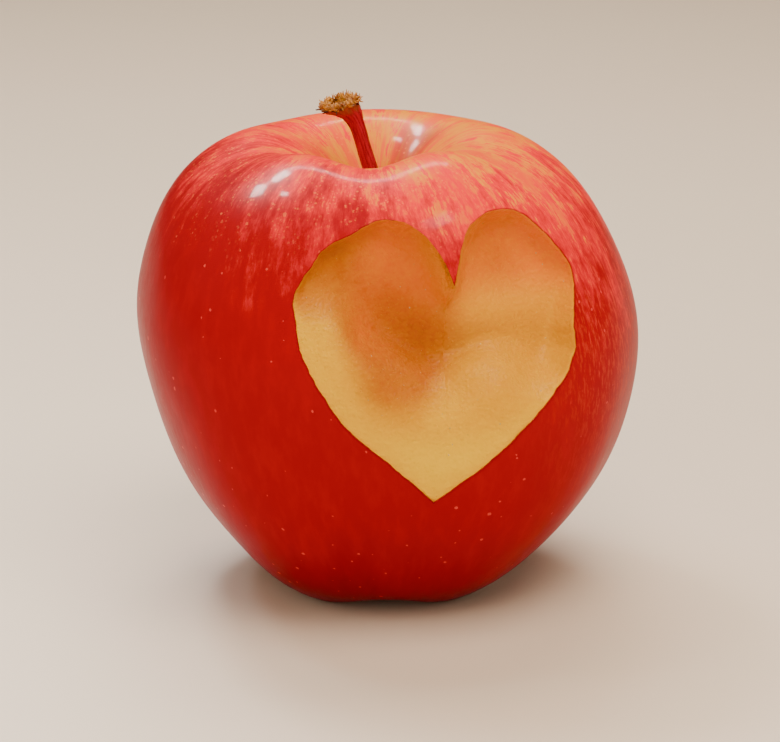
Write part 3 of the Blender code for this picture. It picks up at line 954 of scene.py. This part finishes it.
def makeStem(bark, crustAndShade, shift):
    form = stemForm
    keys = smoothLine(form["rings"], form["steps"])
    angles = np.arange(form["around"]) * 2 * np.pi / form["around"]
    share = np.linspace(0, 1, form["steps"])
    cosTurn, sinTurn = math.cos(form["turn"]), math.sin(form["turn"])
    vertices, place, crustAndShadeValues = [], [], []

    def addRing(middle, wide, deep, level, flare, depth, ragged, amount):
        # a ring round the stem; flare tips it over towards the broken face's own slope
        x, y = wide * np.cos(angles), deep * np.sin(angles)
        lines = 1 + form["lineHeight"] * np.sin(form["lines"] * angles + 1.3 * np.sin(5 * level))
        lines = lines + form["waveHeight"] * np.sin(5 * angles + 3 * level)
        x, y = x * lines, y * lines
        z = flare * (form["topSlope"] * x + form["topTilt"] * y) - depth
        spots = np.column_stack((middle[0] + x, y, middle[1] + z))
        spots[:, 2] += ragged * roughness(spots, 0.7, 5.0)
        spots[:, 0] += 0.4 * ragged * roughness(spots, 0.8, 9.0)
        turned = np.column_stack((spots[:, 0] * cosTurn - spots[:, 1] * sinTurn,
                                  spots[:, 0] * sinTurn + spots[:, 1] * cosTurn, spots[:, 2]))
        vertices.extend(turned)
        place.extend(np.column_stack((np.cos(angles), np.sin(angles), np.full(len(angles), level))))
        crustAndShadeValues.extend(np.full(len(angles), amount))

    for (x, z, wide, deep), level in zip(keys, share):
        flare = float(smoothStep(0.72, 1.0, level))
        addRing((x, z), wide, deep, level, flare, 0.0, form["ragged"] * flare, 0.0)

    # the broken face: a raised rim round a hollow
    topX, topZ, topWide, topDeep = keys[-1]
    for ring in range(1, form["capRings"]):
        out = 1 - ring / form["capRings"]
        rise = form["rimRise"] * math.exp(-((out - 0.82) / 0.16) ** 2)
        sink = form["hollow"] * float(smoothStep(0.75, 0.1, out))
        # the crust value sets how many flakes grow, and is low in the middle of the hollow, where the crust
        # material paints shade
        amount = float(smoothStep(0.1, 0.5, out))
        addRing((topX + 0.3 * (1 - out), topZ), topWide * out, topDeep * out, 1.0, 1.0, sink - rise,
                form["ragged"], amount)
    count, around = form["steps"] + form["capRings"] - 1, form["around"]
    faces = []
    for ring in range(count - 1):
        for i in range(around):
            after = (i + 1) % around
            a, b = ring * around, (ring + 1) * around
            faces.append((a + i, a + after, b + after, b + i))
    last = (count - 1) * around
    faces.append(tuple(range(last, last + around)))
    faces.append(tuple(range(around - 1, -1, -1)))
    slots = [0] * ((form["steps"] - 1) * around) + [1] * ((form["capRings"] - 1) * around + 1) + [0]
    stem = newPiece("apple_stem", np.array(vertices) - shift, faces, (bark, crustAndShade), slots)
    addAttribute(stem, "place", "FLOAT_VECTOR", place)
    addAttribute(stem, "crustAndShade", "FLOAT", crustAndShadeValues)
    return stem


calyxForm = {
    "level": 7.25,
    "sepals": 5,
    "length": 4.0,
    "halfWidth": 1.25,
    "droop": 2.6,
    "thickness": 0.16,
    "ringRadius": 0.9,
    "threads": 16,               # dried threads inside the crown
    "threadLength": 2.6,
    "threadWidth": 0.11,
    "threadRing": 0.35,
}

calyxLook = {
    "pale": (0.50, 0.30, 0.12, 1),
    "brown": (0.17, 0.075, 0.025, 1),
    # painted shade in the hollow of the crown
    "dark": (0.05, 0.02, 0.008, 1),
}


def makeCrownTree():
    # one piece set out in a ring, each copy turned, leaned and sized a little differently
    tree, given, result = newGrowth("ringOfPieces", [
        ("Count", "NodeSocketInt", 5), ("Radius", "NodeSocketFloat", 0.001),
        ("Lean", "NodeSocketFloat", 0.2), ("Twist", "NodeSocketFloat", 0.2),
        ("Smallest", "NodeSocketFloat", 0.8), ("Place", "NodeSocketVector", None),
        ("Seed", "NodeSocketInt", 4),
        ("Material", "NodeSocketMaterial", None)])
    ring = addNode(tree, "GeometryNodeMeshCircle", {"Vertices": given["Count"], "Radius": given["Radius"]})
    number = addNode(tree, "GeometryNodeInputIndex").outputs[0]
    turn = calc(tree, "DIVIDE", calc(tree, "MULTIPLY", number, 2 * math.pi), given["Count"])

    def spread(amount, seed):
        low = calc(tree, "MULTIPLY", amount, -1.0)
        return addNode(tree, "FunctionNodeRandomValue", {"Min": low, "Max": amount,
                       "Seed": calc(tree, "ADD", given["Seed"], seed)}, data_type="FLOAT").outputs[1]

    angles = addNode(tree, "ShaderNodeCombineXYZ", {
        0: spread(given["Twist"], 1), 1: spread(given["Lean"], 2),
        2: calc(tree, "ADD", turn, spread(calc(tree, "MULTIPLY", given["Twist"], 0.6), 3))}).outputs[0]
    size = addNode(tree, "FunctionNodeRandomValue", {"Min": given["Smallest"], "Max": 1.1,
                                                     "Seed": given["Seed"]}, data_type="FLOAT").outputs[1]
    rotation = addNode(tree, "FunctionNodeEulerToRotation", {0: angles}).outputs[0]
    setOut(tree, given, result, ring.outputs["Mesh"], given["Geometry"], rotation, size)
    return tree


def makeSepal():
    # one dried leaf of the crown along +X: pointed, cupped and curled, with two faces
    form = calyxForm
    steps, sides = 18, 10
    u = np.linspace(0, 1, steps + 1)[:, None]
    v = np.linspace(-1, 1, sides + 1)[None]
    width = form["halfWidth"] * (0.62 + 0.9 * u) * np.sqrt(np.maximum(1 - u, 0)) ** 1.3 + 0.02
    x = form["length"] * (u + 0.0 * v)
    y = width * v
    z = -form["droop"] * u**1.6 + 0.55 * np.abs(v) ** 2 * (1 - u) + 0.9 * u**4
    z = z + 0.10 * np.sin(9 * u + 4 * v) * u
    under = np.stack((x, y, z), -1).reshape(-1, 3)
    over = under + np.array((0, 0, form["thickness"]))
    count, row = len(under), sides + 1
    faces = []
    for i in range(steps):
        for j in range(sides):
            a = i * row + j
            faces.append((a, a + 1, a + row + 1, a + row))
            faces.append((count + a, count + a + row, count + a + row + 1, count + a + 1))
    rim = list(range(row)) + [i * row + sides for i in range(1, steps + 1)]
    rim += [steps * row + j for j in range(sides - 1, -1, -1)] + [i * row for i in range(steps - 1, 0, -1)]
    for a, b in zip(rim, rim[1:] + rim[:1]):
        faces.append((a, count + a, count + b, b))
    leaf = newPiece("sepal", np.concatenate((under, over)), faces)
    # painted shade: the crust value is low at the sepal's base, in the middle of the crown, where the crust
    # material darkens it
    addAttribute(leaf, "crustAndShade", "FLOAT", np.tile((0.35 + 0.65 * u + 0 * v).ravel(), 2))
    faceOutwards(leaf)
    return leaf


def makeThread():
    # one dried thread, hanging down and a little bent, with a knob at its end
    form = calyxForm
    steps, around = 12, 6
    angles = np.arange(around) * 2 * np.pi / around
    vertices, unshaded = [], []
    for i in range(steps + 1):
        u = i / steps
        knob = 1 + 1.2 * math.exp(-((u - 0.92) / 0.06) ** 2)
        radius = form["threadWidth"] * knob * (1 if i < steps else 0.3)
        x, z = 0.25 + 0.5 * u + 0.35 * math.sin(3 * u), -form["threadLength"] * u
        vertices.extend(np.column_stack((x + radius * np.cos(angles), radius * np.sin(angles),
                                         np.full(around, z))))
        # painted shade: the crust value is low at the thread's upper end, inside the crown
        unshaded.extend([0.2 + 0.8 * u] * around)
    faces = [tuple(range(around)), tuple(range((steps + 1) * around - 1, steps * around - 1, -1))]
    for i in range(steps):
        for j in range(around):
            a, b = i * around, (i + 1) * around
            faces.append((a + j, b + j, b + (j + 1) % around, a + (j + 1) % around))
    thread = newPiece("thread", vertices, faces)
    addAttribute(thread, "crustAndShade", "FLOAT", unshaded)
    faceOutwards(thread)
    return thread


def makeCalyx(crustAndShade, shift):
    form = calyxForm
    basin = fruitSurface(1.0, 0.0) - shift
    middle = Vector((basin[0], basin[1], form["level"])) * mm
    tree = makeCrownTree()
    sepal, thread = makeSepal(), makeThread()
    shared = {"Place": middle, "Material": crustAndShade}
    crown = grow(sepal, tree, {"Count": form["sepals"], "Radius": form["ringRadius"] * mm, "Lean": 0.16,
                               "Twist": 0.28, "Smallest": 0.86, "Seed": 5, **shared}, "calyx_sepals")
    threads = grow(thread, tree, {"Count": form["threads"], "Radius": form["threadRing"] * mm, "Lean": 0.45,
                                  "Twist": 0.45, "Smallest": 0.6, "Seed": 8, **shared}, "calyx_threads")
    bpy.data.objects.remove(sepal)
    bpy.data.objects.remove(thread)
    return crown, threads


stageLook = {
    "floor": (0.68, 0.53, 0.38, 1),
    "floorShade": (0.60, 0.45, 0.31, 1),
    "floorRadius": 3.0,
    "world": (0.85, 0.66, 0.48, 1),
    "worldStrength": 0.10,
    "lamp": (1.0, 0.93, 0.84),
    "lampDistance": 0.8,
    "lampMiddle": 0.05,          # the height they all point at
}


def makeStage():
    cage = bmesh.new()
    bmesh.ops.create_circle(cage, cap_ends=True, segments=96, radius=stageLook["floorRadius"])
    mesh = bpy.data.meshes.new("floor")
    cage.to_mesh(mesh)
    cage.free()
    floor = addObject("floor", mesh)
    material, tree, shader = newMaterial("paleFloor")
    tone = calc(tree, "MULTIPLY", noiseAt(tree, readPosition(tree), 6.0, 3.0)[0], 0.5)
    colour = blend(tree, tone, stageLook["floor"], stageLook["floorShade"])
    fill(tree, shader, {"Base Color": colour, "Roughness": 0.6})
    mesh.materials.append(material)

    world = bpy.data.worlds.new("softRoom")
    world.use_nodes = True
    fill(world.node_tree, world.node_tree.nodes["Background"],
         {"Color": stageLook["world"], "Strength": stageLook["worldStrength"]})
    bpy.context.scene.world = world


# a window of three panes behind the left shoulder, a strip behind, soft light from above and in front
lampPlan = [
    dict(name="paneTop", azimuth=-157, elevation=54, size=(0.16, 0.09), power=25.0, diffuse=False),
    dict(name="paneLow", azimuth=-137, elevation=48, size=(0.14, 0.10), power=22.0, diffuse=False),
    dict(name="paneSide", azimuth=-126, elevation=66, size=(0.05, 0.07), power=8.5, diffuse=False),
    dict(name="stripBehind", azimuth=178, elevation=52, size=(0.42, 0.08), power=9.0, diffuse=False),
    dict(name="overGlint", azimuth=34, elevation=69, size=(0.13, 0.12), power=5.0, diffuse=False),
    dict(name="softOver", azimuth=15, elevation=64, size=(0.6, 0.5), power=8.0, glossy=False),
    dict(name="softAbove", azimuth=172, elevation=62, size=(0.6, 0.4), power=6.8, glossy=False),
    dict(name="softLeft", azimuth=-105, elevation=16, size=(0.4, 0.3), power=1.4, glossy=False),
    dict(name="softFront", azimuth=-35, elevation=36, size=(0.5, 0.5), power=2.6, glossy=False),
    dict(name="softLow", azimuth=-15, elevation=6, size=(0.5, 0.2), power=1.3, glossy=False),
    dict(name="softRight", azimuth=62, elevation=26, size=(0.4, 0.4), power=1.6, glossy=False),
]


def addLamp(name, azimuth, elevation, size, power, glossy=True, diffuse=True):
    lamp = bpy.data.lights.new(name, "AREA")
    lamp.shape = "RECTANGLE"
    lamp.size, lamp.size_y = size
    lamp.energy = power
    lamp.color = stageLook["lamp"]
    holder = addObject(name, lamp)
    away = lookFrom(math.radians(azimuth), math.radians(elevation))
    holder.location = Vector((0, 0, stageLook["lampMiddle"])) + away * stageLook["lampDistance"]
    aimAlong(holder, -away)
    holder.visible_glossy = glossy
    holder.visible_diffuse = diffuse


cameraPlace = {
    "azimuth": math.radians(-12),
    "elevation": math.radians(16),
    "distance": 0.45,
    "waist": 0.0405,
    "aimRight": 0.00046,         # from the waist, across and up the view
    "aimUp": -0.00766,
    "lens": 136.7,
}


def makeCamera(shift):
    p = cameraPlace
    back = lookFrom(p["azimuth"], p["elevation"])
    right = Vector((math.cos(p["azimuth"]), math.sin(p["azimuth"]), 0))
    upwards = back.cross(right)
    waist = Vector((-shift[0] * mm, -shift[1] * mm, p["waist"]))
    camera = addObject("camera", bpy.data.cameras.new("camera"))
    camera.data.lens = p["lens"]
    camera.location = waist + back * p["distance"]
    aim = waist + right * p["aimRight"] + upwards * p["aimUp"]
    aimAlong(camera, aim - camera.location)
    camera.data.clip_start = 0.01
    bpy.context.scene.camera = camera


fruit, shift = makeFruit(makeSkin(), makeFlesh())
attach(fruit, "root")
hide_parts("fruit")
print("fruit made:", len(fruit.data.vertices), "vertices")

beads = grow(fruit, makeBeadTree(), {
    "Spacing": juiceForm["spacing"] * mm, "Density": juiceForm["perSquareMm"] / mm**2,
    "Smallest": juiceForm["smallest"] * mm, "Largest": juiceForm["largest"] * mm,
    "Flatness": juiceForm["flatness"], "Material": makeJuice()}, "juice_beads")
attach(beads, "root")
print("juice beads:", len(beads.data.polygons), "faces")

bark = makeStemBark()
stemCrust = makeCrust("stemCrust", stemLook["crustPale"], stemLook["crustBrown"], stemLook["crustShade"])
stem = makeStem(bark, stemCrust, shift)
crumbs = grow(stem, makeCrumbTree(), {
    "Crumbs": stemForm["crumbs"] / mm**2, "Length": stemForm["crumbLength"] * mm,
    "Width": stemForm["crumbWidth"] * mm, "Material": stemCrust}, "stem_crumbs")
for piece in (stem, crumbs):
    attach(piece, "root")
    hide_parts("stem")
print("stem made, with", len(crumbs.data.polygons), "faces of crust")

calyxCrust = makeCrust("calyxCrust", calyxLook["pale"], calyxLook["brown"], calyxLook["dark"])
for piece in makeCalyx(calyxCrust, shift):
    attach(piece, "root")
    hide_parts("calyx")
print("calyx made")

makeStage()
for lamp in lampPlan:
    addLamp(**lamp)
makeCamera(shift)
print("stage, lamps and camera made")
